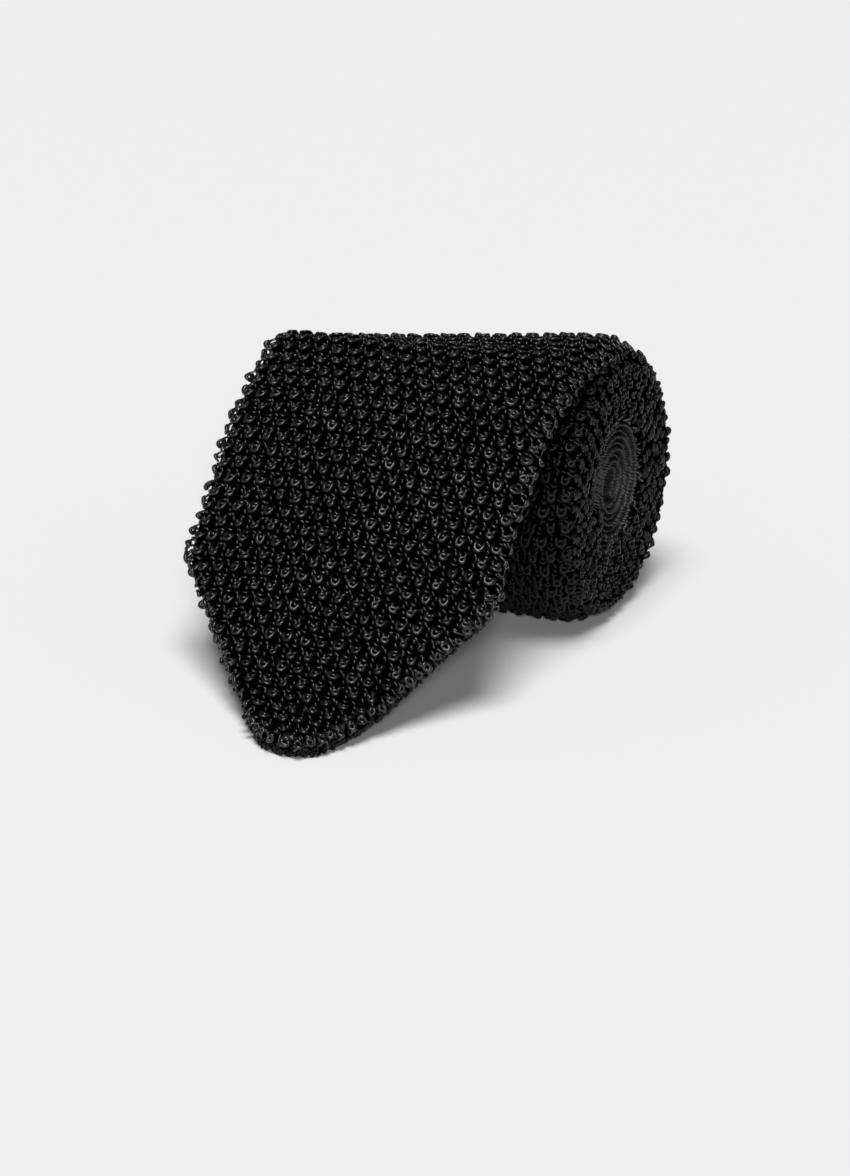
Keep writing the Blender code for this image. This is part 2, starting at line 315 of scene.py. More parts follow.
def flap_profile(run):
    """Place and slope of the flap's middle line, in the plane across the roll."""
    crown_length = CROWN_RADIUS * (RAMP_ANGLE - LEAVE_ANGLE)
    crown = np.clip(run, None, crown_length)
    slope = LEAVE_ANGLE + crown / CROWN_RADIUS
    start_z = AXIS_HEIGHT + END_RADIUS * cos(LEAVE_ANGLE)
    y = -END_RADIUS * sin(LEAVE_ANGLE) - CROWN_RADIUS * (np.sin(slope) - sin(LEAVE_ANGLE))
    z = start_z - CROWN_RADIUS * (cos(LEAVE_ANGLE) - np.cos(slope))

    ramp = np.clip(run - crown_length, 0.0, RAMP_LENGTH)
    y = y - ramp * cos(RAMP_ANGLE)
    z = z - ramp * sin(RAMP_ANGLE)

    top = start_z
    top -= CROWN_RADIUS * (cos(LEAVE_ANGLE) - cos(RAMP_ANGLE)) + RAMP_LENGTH * sin(RAMP_ANGLE)
    toe_radius = (top - HEM_THICKNESS + CLOTH_THICKNESS / 2) / (1 - cos(RAMP_ANGLE))
    toe = np.clip(run - crown_length - RAMP_LENGTH, 0.0, None)
    turned = np.clip(toe / toe_radius, None, RAMP_ANGLE)
    y = y - toe_radius * (sin(RAMP_ANGLE) - np.sin(RAMP_ANGLE - turned))
    y = y - (toe - turned * toe_radius)
    z = z - toe_radius * (np.cos(RAMP_ANGLE - turned) - cos(RAMP_ANGLE))
    return y, z, slope - turned


def side_step(run):
    """The blade's end wanders sideways; run is counted from where it leaves the roll."""
    wound = FLAP_SIDE_STEP * smooth(1 + run / DRIFT_LENGTH)
    share = run / FLAP_LENGTH
    loose = FLAP_SIDE_STEP + (TIP_SIDE_STEP - FLAP_SIDE_STEP) * share
    return np.where(run < 0, wound, loose + FLAP_BOW * 4 * share * (1 - share))


def flap_point(run, across, lift):
    """A point of the hanging flap; it starts tapered like the roll and widens to full width."""
    y, z, slope = flap_profile(run)
    share = np.clip(run / FLAP_LENGTH, 0.0, 1.0)
    droop = 4 * share * (1 - share) * (1 - smooth((share - ARCH_FADE_START) / ARCH_FADE_LENGTH))
    lift = lift - FLAP_ARCH * droop * (across / HALF_WIDTH) ** 2
    weight = 1 - smooth(run / FLAP_UNTAPER)
    x = side_step(run) + across
    lift = lift - edge_curl(x) * (EDGE_CURL + LAST_CURL) * (1 - smooth(run / (2 * FLAP_UNTAPER)))
    return tapered(x, y - lift * np.sin(slope), z + lift * np.cos(slope), weight)


def angle_after(run, end_angle, end_radius):
    """Angle of a point run before the end of a wound layer (run is negative)."""
    growth = CLOTH_PITCH / (2 * pi)
    back = (end_radius - np.sqrt(end_radius ** 2 + 2 * growth * run)) / growth
    return end_angle - back


def wound_blade_point(run, across, lift):
    angle = angle_after(run, END_ANGLE, END_RADIUS)
    return roll_point(side_step(run) + across, angle, blade_radius(angle) + lift)


def blade_point(across, run, lift):
    """A point of the blade, from its wound turns (run below 0) to its tip."""
    wound = wound_blade_point(np.minimum(run, 0.0), across, lift)
    loose = flap_point(np.maximum(run, 0.0), across, lift)
    return np.where((run < 0)[..., None], wound, loose)


def tail_point(across, run, lift):
    """A point of the tail; run is negative, counted back from its sharp tip."""
    angle = angle_after(run, TAIL_END_ANGLE, tail_radius(TAIL_END_ANGLE))
    return roll_point(TAIL_CENTRE + across, angle, tail_radius(angle) + lift)


def tail_wall_point(across, run, lift):
    """A point of the tail, with across measured from the middle of the blade."""
    return tail_point(across - TAIL_CENTRE, run, lift)


def tip_half_width(run, inset, half_width, length):
    """Half the width of a pointed end whose outline is moved in by inset."""
    centre = length - TIP_ROUND / sin(TIP_HALF_ANGLE)
    radius = TIP_ROUND - inset
    slant = (length - run) * np.tan(TIP_HALF_ANGLE) - inset / cos(TIP_HALF_ANGLE)
    arc = np.sqrt(np.clip(radius ** 2 - (run - centre) ** 2, 0.0, None))
    on_arc = run > centre + radius * sin(TIP_HALF_ANGLE)
    return np.minimum(np.where(on_arc, arc, slant), half_width)


# ---------------------------------------------------------------- meshes

def new_object(name, points, faces, material):
    """A smooth-shaded mesh object from arrays of points and quads."""
    data = bpy.data.meshes.new(name)
    data.from_pydata([], [], [])
    data.vertices.add(len(points))
    data.vertices.foreach_set("co", np.asarray(points, np.float32).ravel())
    data.loops.add(faces.size)
    data.loops.foreach_set("vertex_index", faces.astype(np.int32).ravel())
    data.polygons.add(len(faces))
    starts = np.arange(0, faces.size, faces.shape[1], dtype=np.int32)
    data.polygons.foreach_set("loop_start", starts)
    data.polygons.foreach_set("use_smooth", np.ones(len(faces), bool))
    data.update(calc_edges=True)
    data.validate()
    data.materials.append(material)
    made = bpy.data.objects.new(name, data)
    bpy.context.scene.collection.objects.link(made)
    return made


def ring_quads(rows, count):
    """Quads between the rings of a closed tube whose points are stored ring by ring."""
    i = np.arange(rows - 1)[:, None] * count
    j = np.arange(count)[None]
    k = (j + 1) % count
    return np.stack([i + j, i + k, i + count + k, i + count + j], axis=-1).reshape(-1, 4)


def end_caps(rows, count):
    """Quads that close a tube's ends; its rings run out along one face and back on the other."""
    caps = []
    for base, turned in ((0, True), ((rows - 1) * count, False)):
        for c in range(count // 2 - 1):
            quad = (base + c, base + c + 1, base + count - 2 - c, base + count - 1 - c)
            caps.append(quad[::-1] if turned else quad)
    return np.array(caps)


def curve_through(points, steps, closed):
    """Catmull-Rom curve through control points."""
    points = np.asarray(points, float)
    count = len(points)
    spans = count if closed else count - 1
    at = np.linspace(0, spans, steps, endpoint=not closed)
    index = np.minimum(at.astype(int), spans - 1)
    part = (at - index)[:, None]

    def pick(offset):
        shifted = index + offset
        if closed:
            return points[shifted % count]
        return points[np.clip(shifted, 0, count - 1)]

    a, b, c, d = pick(-1), pick(0), pick(1), pick(2)
    return 0.5 * (2 * b + (c - a) * part + (2 * a - 5 * b + 4 * c - d) * part ** 2
                  + (3 * b - a - 3 * c + d) * part ** 3)


def tube(points, radius, sides, closed):
    """Vertices and quads of a yarn along points; open ends are drawn to a blunt point."""
    points = np.asarray(points, float)
    count = len(points)
    if closed:
        forward = np.roll(points, -1, 0) - np.roll(points, 1, 0)
    else:
        forward = np.gradient(points, axis=0)
    forward /= np.linalg.norm(forward, axis=1)[:, None]
    side = np.cross(forward, np.array((0.0, 0.0, 1.0)))
    flat = np.linalg.norm(side, axis=1) < 0.15
    side[flat] = np.cross(forward[flat], np.array((1.0, 0.0, 0.0)))
    for i in range(1, count):
        if side[i] @ side[i - 1] < 0:
            side[i] = -side[i]
    side /= np.linalg.norm(side, axis=1)[:, None]
    up = np.cross(side, forward)
    width = np.full(count, radius)
    if not closed:
        width[[0, -1]] *= YARN_END
    turn = 2 * pi * np.arange(sides) / sides
    ring = np.cos(turn)[None, :, None] * side[:, None, :]
    ring = ring + np.sin(turn)[None, :, None] * up[:, None, :]
    vertices = (points[:, None, :] + ring * width[:, None, None]).reshape(-1, 3)
    rows = count if closed else count - 1
    quads = []
    for i in range(rows):
        for j in range(sides):
            k = (j + 1) % sides
            n = (i + 1) % count
            quads.append((i * sides + j, i * sides + k, n * sides + k, n * sides + j))
    return vertices, np.array(quads)


def join(parts):
    """Several (vertices, quads) as one."""
    vertices, quads, start = [], [], 0
    for part_vertices, part_quads in parts:
        vertices.append(part_vertices)
        quads.append(part_quads + start)
        start += len(part_vertices)
    return np.concatenate(vertices), np.concatenate(quads)


# ---------------------------------------------------------------- the templates, in millimetres

def ring_path(across, along, height):
    """Points of a closed ring; height is a function of the turn."""
    turn = 2 * pi * np.arange(RING_STEPS) / RING_STEPS
    return np.stack([across * np.cos(turn), along * np.sin(turn), height(turn)], axis=1)


def strand(path, radius, steps=ARC_STEPS // 2, sides=SIDES):
    """An open length of yarn through a path in millimetres."""
    return tube(curve_through(path, steps, False) * MM, radius, sides, False)


def mirrored(path):
    """The same path on the other side, run the other way."""
    return [(-u, v, w) for u, v, w in reversed(path)]


def tick():
    """The short length of yarn that shows below a bobble, before the next row."""
    path = [(-0.42, 1.10, 0.0), (-0.22, 1.42, 0.56), (0.20, 1.70, 0.50), (0.34, 2.05, 0.0)]
    return strand(path, LOOP_YARN, sides=THIN_SIDES)


def closed_bobble():
    """A loop drawn tight into a ring, with its two legs dropping back into the cloth."""
    ring = ring_path(0.56, 0.52, lambda turn: 0.86 + 0.20 * np.sin(turn))
    ring[:, 1] += 0.20
    right = [(0.36, -0.30, 0.88), (0.62, -0.84, 0.72), (0.90, -1.28, 0.05)]
    left = [(-u, v, w) for u, v, w in right]
    ends = [strand(horn, LEG_YARN) for horn in (left, right)]
    return join([tube(ring * MM, BOBBLE_YARN, SIDES, True), tick(), *ends])


def open_bobble():
    """A loop left open as a U, its ends dropping back into the cloth."""
    half = [(-0.80, -1.20, 0.0), (-0.76, -0.55, 0.70), (-0.66, 0.12, 0.88), (-0.34, 0.62, 1.00)]
    bridge = [(-0.56, -0.62, 0.30), (0.0, -0.40, 0.84), (0.56, -0.62, 0.30)]
    loop = strand(half + mirrored(half), BOBBLE_YARN, ARC_STEPS + 4)
    return join([loop, strand(bridge, LEG_YARN), tick()])


def leg():
    """The small knots between two columns, and the sunk yarn between two rows."""
    upper = [(-0.10, -0.95, 0.0), (0.12, -0.55, 0.50), (0.16, -0.15, 0.10)]
    lower = [(-0.18, 0.35, 0.05), (-0.02, 0.70, 0.40), (0.20, 1.05, 0.0)]
    sunk = [(-0.80, 1.35, -0.10), (-0.42, 1.78, 0.34), (0.12, 1.90, 0.28), (0.55, 1.55, -0.10)]
    return join([strand(upper, LEG_YARN),
                 strand(lower, TIE_YARN),
                 strand(sunk, SUNK_YARN, sides=THIN_SIDES)])


def edge_bobble():
    """A bobble on the cloth's edge: u through the thickness, v along, w out of the edge."""
    ring = ring_path(0.66, 0.68, lambda turn: 0.62 + 0.20 * np.cos(2 * turn))
    parts = [tube(ring * MM, EDGE_YARN, SIDES, True)]
    half = [(0.62, -1.20, -1.00), (0.98, -0.90, -0.55), (0.92, -0.55, -0.05), (0.66, -0.20, 0.50)]
    for side in (-1, 1):
        parts.append(strand([(side * u, v, w) for u, v, w in half], LEG_YARN))
    return join(parts)


def edge_tie():
    """A short length of yarn that wraps the edge between two bobbles."""
    half = [(-0.58, 0.12, -1.20), (-0.96, 0.10, -0.82), (-0.78, 0.05, -0.32)]
    return strand(half + [(0.0, -0.05, -0.10)] + mirrored(half), TIE_YARN, ARC_STEPS - 4)


def hem_loop():
    """A small tight loop of the hem's sewn-over edge."""
    half = [(-0.42, -0.42, 0.0), (-0.38, 0.10, 0.24)]
    return strand(half + [(0.0, 0.36, 0.32)] + mirrored(half), LOOP_YARN, 8, THIN_SIDES)


# ---------------------------------------------------------------- laying them over the cloth

def spread(rng, amount, shape):
    """Random differences between stitches, with the few extreme ones held back."""
    return amount * np.clip(rng.normal(0, 1, shape), -MOST_SPREAD, MOST_SPREAD)


def lay(templates, which, u, v, rng, lift, side=1.0, wobble=1.0):
    """Copies of the templates at cloth positions u, v, each a little different, laid flat."""
    vertices, quads, start = [], [], 0
    for kind, (shape, faces) in enumerate(templates):
        chosen = np.nonzero(which == kind)[0]
        if not len(chosen):
            continue
        count = len(chosen)
        spin = spread(rng, SPIN_SPREAD * wobble, count)
        size = 1 + spread(rng, SIZE_SPREAD * wobble, (count, 3))
        shift = spread(rng, SHIFT_SPREAD * wobble, (count, 2))
        lean = spread(rng, LEAN_SPREAD * wobble, (count, 2))
        local = shape[None] * size[:, None, :]
        c, s = np.cos(spin)[:, None], np.sin(spin)[:, None]
        du = local[..., 0] * c - local[..., 1] * s
        dv = local[..., 0] * s + local[..., 1] * c
        dw = local[..., 2] + lean[:, :1] * du + lean[:, 1:] * dv
        out = np.stack([u[chosen][:, None] + du + shift[:, :1],
                        v[chosen][:, None] + dv + shift[:, 1:],
                        side * (lift + dw)], axis=-1)
        vertices.append(out.reshape(-1, 3))
        turned = faces if side > 0 else faces[:, ::-1]
        block = turned[None] + (np.arange(count) * len(shape))[:, None, None] + start
        quads.append(block.reshape(-1, 4))
        start += count * len(shape)
    return np.concatenate(vertices), np.concatenate(quads)


def rest_on_floor(points):
    """What would go under the surface the tie stands on is pressed flat against it."""
    z = points[:, 2]
    pressed = FLOOR_PRESS + FLOOR_SHARE * (z - FLOOR_PRESS)
    points[:, 2] = np.maximum(np.where(z < FLOOR_PRESS, pressed, z), FLOOR_LEAST)
    return points


# ---------------------------------------------------------------- materials

def yarn_material(name, colour, roughness, gloss, fibre_scale):
    """Spun yarn: fine fibres that break up its colour, its highlights and its surface."""
    made = bpy.data.materials.new(name)
    made.use_nodes = True
    nodes, links = made.node_tree.nodes, made.node_tree.links
    shader = nodes["Principled BSDF"]
    place = nodes.new("ShaderNodeTexCoord")
    fibres = nodes.new("ShaderNodeTexNoise")
    fibres.inputs["Scale"].default_value = fibre_scale
    fibres.inputs["Detail"].default_value = 4
    links.new(place.outputs["Object"], fibres.inputs["Vector"])
    patches = nodes.new("ShaderNodeTexNoise")
    patches.inputs["Scale"].default_value = PATCH_SCALE
    links.new(place.outputs["Object"], patches.inputs["Vector"])
    ramp = nodes.new("ShaderNodeValToRGB")
    ramp.color_ramp.elements[0].position = 0.32
    ramp.color_ramp.elements[0].color = (*[c * DARK_FIBRE for c in colour], 1)
    ramp.color_ramp.elements[1].position = 0.72
    ramp.color_ramp.elements[1].color = (*[c * LIGHT_FIBRE for c in colour], 1)
    links.new(fibres.outputs["Fac"], ramp.inputs["Fac"])
    links.new(ramp.outputs["Color"], shader.inputs["Base Color"])
    rough = nodes.new("ShaderNodeMapRange")
    rough.inputs["To Min"].default_value = roughness - PATCH_ROUGHNESS
    rough.inputs["To Max"].default_value = roughness + PATCH_ROUGHNESS
    links.new(patches.outputs["Fac"], rough.inputs["Value"])
    links.new(rough.outputs["Result"], shader.inputs["Roughness"])
    bump = nodes.new("ShaderNodeBump")
    bump.inputs["Strength"].default_value = FIBRE_BUMP
    bump.inputs["Distance"].default_value = FIBRE_DEPTH
    links.new(fibres.outputs["Fac"], bump.inputs["Height"])
    links.new(bump.outputs["Normal"], shader.inputs["Normal"])
    shader.inputs["Specular IOR Level"].default_value = gloss
    return made


def plain_material(name, colour, roughness):
    made = bpy.data.materials.new(name)
    made.use_nodes = True
    nodes, links = made.node_tree.nodes, made.node_tree.links
    shader = nodes["Principled BSDF"]
    noise = nodes.new("ShaderNodeTexNoise")
    noise.inputs["Scale"].default_value = 6
    noise.inputs["Detail"].default_value = 3
    ramp = nodes.new("ShaderNodeValToRGB")
    ramp.color_ramp.elements[0].color = (*[c * 0.995 for c in colour], 1)
    ramp.color_ramp.elements[1].color = (*colour, 1)
    links.new(noise.outputs["Fac"], ramp.inputs["Fac"])
    links.new(ramp.outputs["Color"], shader.inputs["Base Color"])
    shader.inputs["Roughness"].default_value = roughness
    return made


YARN = yarn_material("silk_yarn", (0.0045, 0.0045, 0.0050), 0.30, 0.66, 2600)
# A darker, duller and rougher copy of the silk yarn: painted shade on the front and underside of
# the roll's last turn, under the flap, its roughness also softening the highlights there
SHADED_YARN = yarn_material("shaded_yarn_copy", (0.0036, 0.0034, 0.0034), 0.44, 0.20, 2600)
# Near black and without gloss, far darker than the silk yarn: painted shade in the gaps between the
# stitches and between the hem's loops
GAP_SHADE_KNIT = yarn_material("shaded_knit", (0.0006, 0.0006, 0.0007), 0.80, 0.0, 1800)
# A darker, duller copy of the silk yarn: on the hem's loops, and as painted shade on the right
# edges of the wound blade and of the tail, which make the roll's right end face
HEM_YARN_AND_END_SHADE = yarn_material("hem_yarn", (0.0020, 0.0020, 0.0022), 0.33, 0.20, 2800)
RIB = yarn_material("fine_rib_yarn", (0.0150, 0.0150, 0.0162), 0.36, 0.42, 3200)
THREAD = yarn_material("sewing_thread", (0.0090, 0.0090, 0.0100), 0.40, 0.20, 3600)


# ---------------------------------------------------------------- the cloth under the stitches

def relief(u, v):
    """Height of the ground cloth: courses across it and wales along it."""
    courses = np.cos(2 * pi * v / (ROW_PITCH / 2))
    wales = np.cos(2 * pi * u / COLUMN_PITCH)
    return (GROUND_HEIGHT + COURSE_HEIGHT * courses + WALE_HEIGHT * wales) * MM


def cloth(name, surface, runs, half_widths, columns, material, half_thickness=relief):
    """A thin closed cloth between -half_width and half_width at each run, with rounded edges."""
    share = np.linspace(-1, 1, columns)
    u = half_widths[:, None] * share[None]
    v = np.repeat(runs[:, None], columns, axis=1)
    edge = np.clip((half_widths[:, None] - np.abs(u)) / GROUND_ROUNDING, 0.0, 1.0)
    lift = half_thickness(u, v) * np.sqrt(0.12 + 0.88 * edge)
    top = surface(u, v, lift)
    under = surface(u, v, -lift)[:, ::-1]
    ring = np.concatenate([top, under], axis=1)
    rows, count = ring.shape[:2]
    quads = np.concatenate([ring_quads(rows, count), end_caps(rows, count)])
    return new_object(name, rest_on_floor(ring.reshape(-1, 3)), quads, material)


WOUND_LENGTH = (END_RADIUS ** 2 - round_blade_radius(SEAM_ANGLE) ** 2) * pi / CLOTH_PITCH
TAIL_LENGTH = (tail_radius(TAIL_END_ANGLE) ** 2 - tail_radius(SEAM_ANGLE) ** 2) * pi / CLOTH_PITCH
LAST_TURN = (END_RADIUS ** 2 - (END_RADIUS - CLOTH_PITCH) ** 2) * pi / CLOTH_PITCH
TIP_REACH = FLAP_LENGTH - TIP_ROUND / sin(TIP_HALF_ANGLE) + TIP_ROUND
TAIL_REACH = TIP_LENGTH - TIP_ROUND / sin(TIP_HALF_ANGLE) + TIP_ROUND


def tail_half_width(run):
    """run is negative, counted back from the sharp apex of the tail's point."""
    return tip_half_width(run + TIP_LENGTH, 0.0, TAIL_WIDTH / 2, TIP_LENGTH)


def make_ground():
    """The cloth of the wound blade, of the flap and of the tail, near black as painted shade
    between the stitches.
    """
    runs = np.arange(-WOUND_LENGTH, 0.0001, ROW_PITCH / 4)
    wide = np.full(len(runs), HALF_WIDTH - GROUND_INSET)
    wound = cloth("blade_wound_cloth", blade_point, runs, wide, 37, GAP_SHADE_KNIT)

    runs = np.linspace(-GROUND_OVERLAP, TIP_REACH - FLAP_TIP_GAP, 150)
    wide = tip_half_width(runs, GROUND_TIP_INSET, HALF_WIDTH - GROUND_INSET, FLAP_LENGTH)
    loose = cloth("blade_flap_cloth", blade_point, runs, wide, 55, GAP_SHADE_KNIT)

    runs = np.arange(-TAIL_LENGTH, TAIL_REACH - TIP_LENGTH - TAIL_TIP_GAP, ROW_PITCH / 4)
    tail = cloth("tail_cloth", tail_point, runs, tail_half_width(runs) - GROUND_INSET, 25, GAP_SHADE_KNIT)
    return wound, loose, tail


# ---------------------------------------------------------------- the stitches

def grid(first_row, last_row, columns):
    """Cloth positions of the stitches in these rows and columns, and each row's number."""
    rows = np.arange(first_row, last_row)
    column, row = np.meshgrid(columns, rows)
    column, row = column.ravel(), row.ravel()
    stagger = np.where(row % 2 == 0, STAGGER, -STAGGER)
    u = (column - (COLUMNS - 1) / 2 + stagger) * COLUMN_PITCH
    reach = HALF_WIDTH - FACE_MARGIN
    return np.clip(u, -reach, reach), (row + 0.5) * ROW_PITCH, row


def outside_point(u, v, inset):
    """True where a stitch would lie beyond the blade's pointed end, moved in by inset."""
    return np.abs(u) > tip_half_width(v, inset, HALF_WIDTH + 1.0 * MM, FLAP_LENGTH)


def face_stitches(name, surface, first_row, last_row, columns, side, material, seed, legs=True):
    """The bobbles, and the knots between them, on one face of the cloth."""
    rng = np.random.default_rng(seed)
    u, v, row = grid(first_row, last_row, columns)
    inset = TIP_MARGIN if side > 0 else HEM_WIDTH - HEM_OVERLAP
    keep = ~outside_point(u, v, inset)
    u, v, row = u[keep], v[keep], row[keep]
    bobbles = [closed_bobble(), open_bobble()]
    vertices, quads = lay(bobbles, row % 2, u, v, rng, STITCH_BASE, side)
    if legs:
        between = u + COLUMN_PITCH / 2
        inside = (between < HALF_WIDTH - FACE_MARGIN) & ~outside_point(between, v, inset)
        more = lay([leg()], np.zeros(inside.sum(), int), between[inside], v[inside] - LEG_SHIFT,
                   rng, STITCH_BASE - LEG_DROP, side)
        vertices, quads = join([(vertices, quads), more])
    past = np.clip((np.abs(vertices[:, 0]) - HALF_WIDTH) / EDGE_ROUNDING + 1, 0.0, 1.2)
    lift = vertices[:, 2] - side * EDGE_DROP * past ** 2
    points = surface(vertices[:, 0], vertices[:, 1], lift)
    return new_object(name, rest_on_floor(points), quads, material)


def edge_stitches(name, surface, half_width, first_run, last_run, side, material, seed):
    """Bobbles and ties along one edge of the cloth; half_width is a function of the run."""
    rng = np.random.default_rng(seed)
    runs = np.arange(first_run, last_run, ROW_PITCH / 2)
    which = np.arange(len(runs)) % 2
    shapes = [edge_bobble(), edge_tie()]
    vertices, quads = lay(shapes, which, np.zeros(len(runs)), runs, rng, 0.0, wobble=EDGE_WOBBLE)
    through = EDGE_BULGE * np.tanh(vertices[:, 0] / EDGE_BULGE)
    v = vertices[:, 1]
    out = vertices[:, 2]
    for length in RIPPLE_LENGTHS:
        start = rng.uniform(0, 2 * pi)
        out = out + EDGE_RIPPLE * (np.sin(2 * pi * v / length + start) - 0.5)
    if side > 0:
        out = np.where(out > 0, RIGHT_EDGE_SQUASH * out, out)
    else:
        out = out + LEFT_EDGE_REACH * (v > -LAST_TURN)
        quads = quads[:, ::-1]
    u = side * (half_width(v) - EDGE_INSET + out)
    points = surface(u, v, -through)
    return new_object(name, rest_on_floor(points), quads, material)


def blade_half_width(run):
    return np.full(np.shape(run), HALF_WIDTH)


def make_wound_stitches():
    """The stitches that show on the wound blade: its last turn, its left end and the recess."""
    every = np.arange(COLUMNS)
    last = int(LAST_TURN / ROW_PITCH) + 2
    first = int(WOUND_LENGTH / ROW_PITCH)
    share = last // 3
    made = []
    for part in range(3):
        low = -last + part * share
        high = 0 if part == 2 else low + share
        # The last turn's first two pieces, down its front and round its underside, get the darker
        # yarn copy as painted shade; its back and top keep the plain yarn
        plain_or_shaded_yarn = YARN if part == 2 else SHADED_YARN
        made.append(face_stitches(f"blade_turn_yarn_{part + 1}", blade_point, low, high, every,
                                  1.0, plain_or_shaded_yarn, 10 + part))
    made.append(face_stitches("blade_left_columns_yarn", blade_point, -first, -last, every[:2],
                              1.0, YARN, 14, legs=False))
    made.append(face_stitches("recess_wall_yarn", blade_point, -first, RECESS_ROWS - first,
                              every[:9], -1.0, YARN, 15))
    return made


def make_core_wall():
    """The tail's stitches that can be seen inside the recess."""
    first = -int(TAIL_LENGTH / ROW_PITCH)
    columns = np.arange(COLUMNS)[-3:]
    return face_stitches("core_wall_yarn", tail_wall_point, first, first + CORE_WALL_ROWS,
                         columns, -1.0, YARN, 16, legs=False)


def make_flap_stitches():
    """The stitches on both faces of the flap, each face in two pieces."""
    rows = int(FLAP_LENGTH / ROW_PITCH)
    middle = rows // 2
    made = []
    for label, side in (("front", 1.0), ("back", -1.0)):
        for part, (low, high) in enumerate(((0, middle), (middle, rows))):
            made.append(face_stitches(f"flap_{label}_yarn_{part + 1}", blade_point, low, high,
                                      np.arange(COLUMNS), side, YARN, 20 + part + int(side)))
    return made


def make_edge_stitches():
    """The bobbles along both edges of the wound blade, of the tail and of the flap."""
    corner = FLAP_LENGTH - TIP_LENGTH + CORNER_OVERLAP
    rolled, on_tail, loose = [], [], []
    for label, side in (("left", -1), ("right", 1)):
        # The right edges of the wound blade and tail, the roll's right end face, get the darker
        # yarn copy as painted shade; the flap's right edge keeps the plain yarn
        plain_or_shaded_yarn = HEM_YARN_AND_END_SHADE if side > 0 else YARN
        rolled.append(edge_stitches(f"blade_{label}_edge_yarn", blade_point, blade_half_width,
                                    -WOUND_LENGTH, -EDGE_STOP, side, plain_or_shaded_yarn, 45 + side))
        loose.append(edge_stitches(f"flap_{label}_edge_yarn", blade_point, blade_half_width,
                                   0.0, corner, side, YARN, 33 + side))
        stop = -TIP_LENGTH if side < 0 else TAIL_REACH - TIP_LENGTH - TAIL_EDGE_STOP
        on_tail.append(edge_stitches(f"tail_{label}_edge_yarn", tail_point, tail_half_width,
                                     -TAIL_LENGTH, stop, side, plain_or_shaded_yarn, 36 + side))
    return rolled, on_tail, loose


def make_stitches():
    """Every stitch that shows: on the wound blade, on the tail and on the flap."""
    rolled = make_wound_stitches()
    on_tail = [make_core_wall()]
    loose = make_flap_stitches()
    edges = make_edge_stitches()
    return rolled + edges[0], on_tail + edges[1], loose + edges[2]


# ---------------------------------------------------------------- the hems

def outline(distance, inset, half_width, length):
    """A point of a pointed end's outline, moved in by inset; distance starts at its left corner."""
    slant = TIP_HALF_ANGLE
    slant_length = half_width / sin(slant) - TIP_ROUND / np.tan(slant)
    arc_length = TIP_ROUND * (pi - 2 * slant)
    centre = length - TIP_ROUND / sin(slant)
    apex_side = np.clip(distance, None, slant_length)
    run = length - half_width / np.tan(slant) + apex_side * cos(slant)
    across = -half_width + apex_side * sin(slant)
    run = run - inset * sin(slant)
    across = across + inset * cos(slant)
    turn = (distance - slant_length) / TIP_ROUND
    turn = slant - pi / 2 + np.clip(turn, 0.0, pi - 2 * slant)
    round_run = centre + (TIP_ROUND - inset) * np.cos(turn)
    round_across = (TIP_ROUND - inset) * np.sin(turn)
    after = np.clip(distance - slant_length - arc_length, 0.0, None)
    right_run = centre + (TIP_ROUND - inset) * sin(slant) - after * cos(slant)
    right_across = (TIP_ROUND - inset) * cos(slant) + after * sin(slant)
    on_left = distance < slant_length
    on_right = distance > slant_length + arc_length
    run = np.where(on_left, run, np.where(on_right, right_run, round_run))
    across = np.where(on_left, across, np.where(on_right, right_across, round_across))
    return run, across


def outline_length(half_width):
    slant_length = half_width / sin(TIP_HALF_ANGLE) - TIP_ROUND / np.tan(TIP_HALF_ANGLE)
    return 2 * slant_length + TIP_ROUND * (pi - 2 * TIP_HALF_ANGLE)


def rounded(value, power):
    """A sine or cosine filled out towards 1 and -1 by a power below 1."""
    return np.sign(value) * np.abs(value) ** power


def hem_profile(turn, thickness):
    """Inset and lift of a point round the hem's section; its top is flush with the cloth's."""
    inset = -rounded(np.cos(turn), HEM_FULLNESS)
    lift = rounded(np.sin(turn), HEM_FULLNESS)
    middle = (CLOTH_THICKNESS - thickness) / 2
    return HEM_WIDTH / 2 * (1 + inset), middle + (thickness / 2 - HEM_CLEARANCE) * lift


def hem_faded(distance, total, inset, lift):
    """The hem thins out into the cloth at its two ends."""
    ease = smooth((distance + HEM_FADE_LEAD) / HEM_FADE)
    ease = ease * smooth((total + HEM_FADE_LEAD - distance) / HEM_FADE)
    share = HEM_END_WIDTH + (1 - HEM_END_WIDTH) * ease
    return HEM_WIDTH / 2 + (inset - HEM_WIDTH / 2) * share, lift * ease


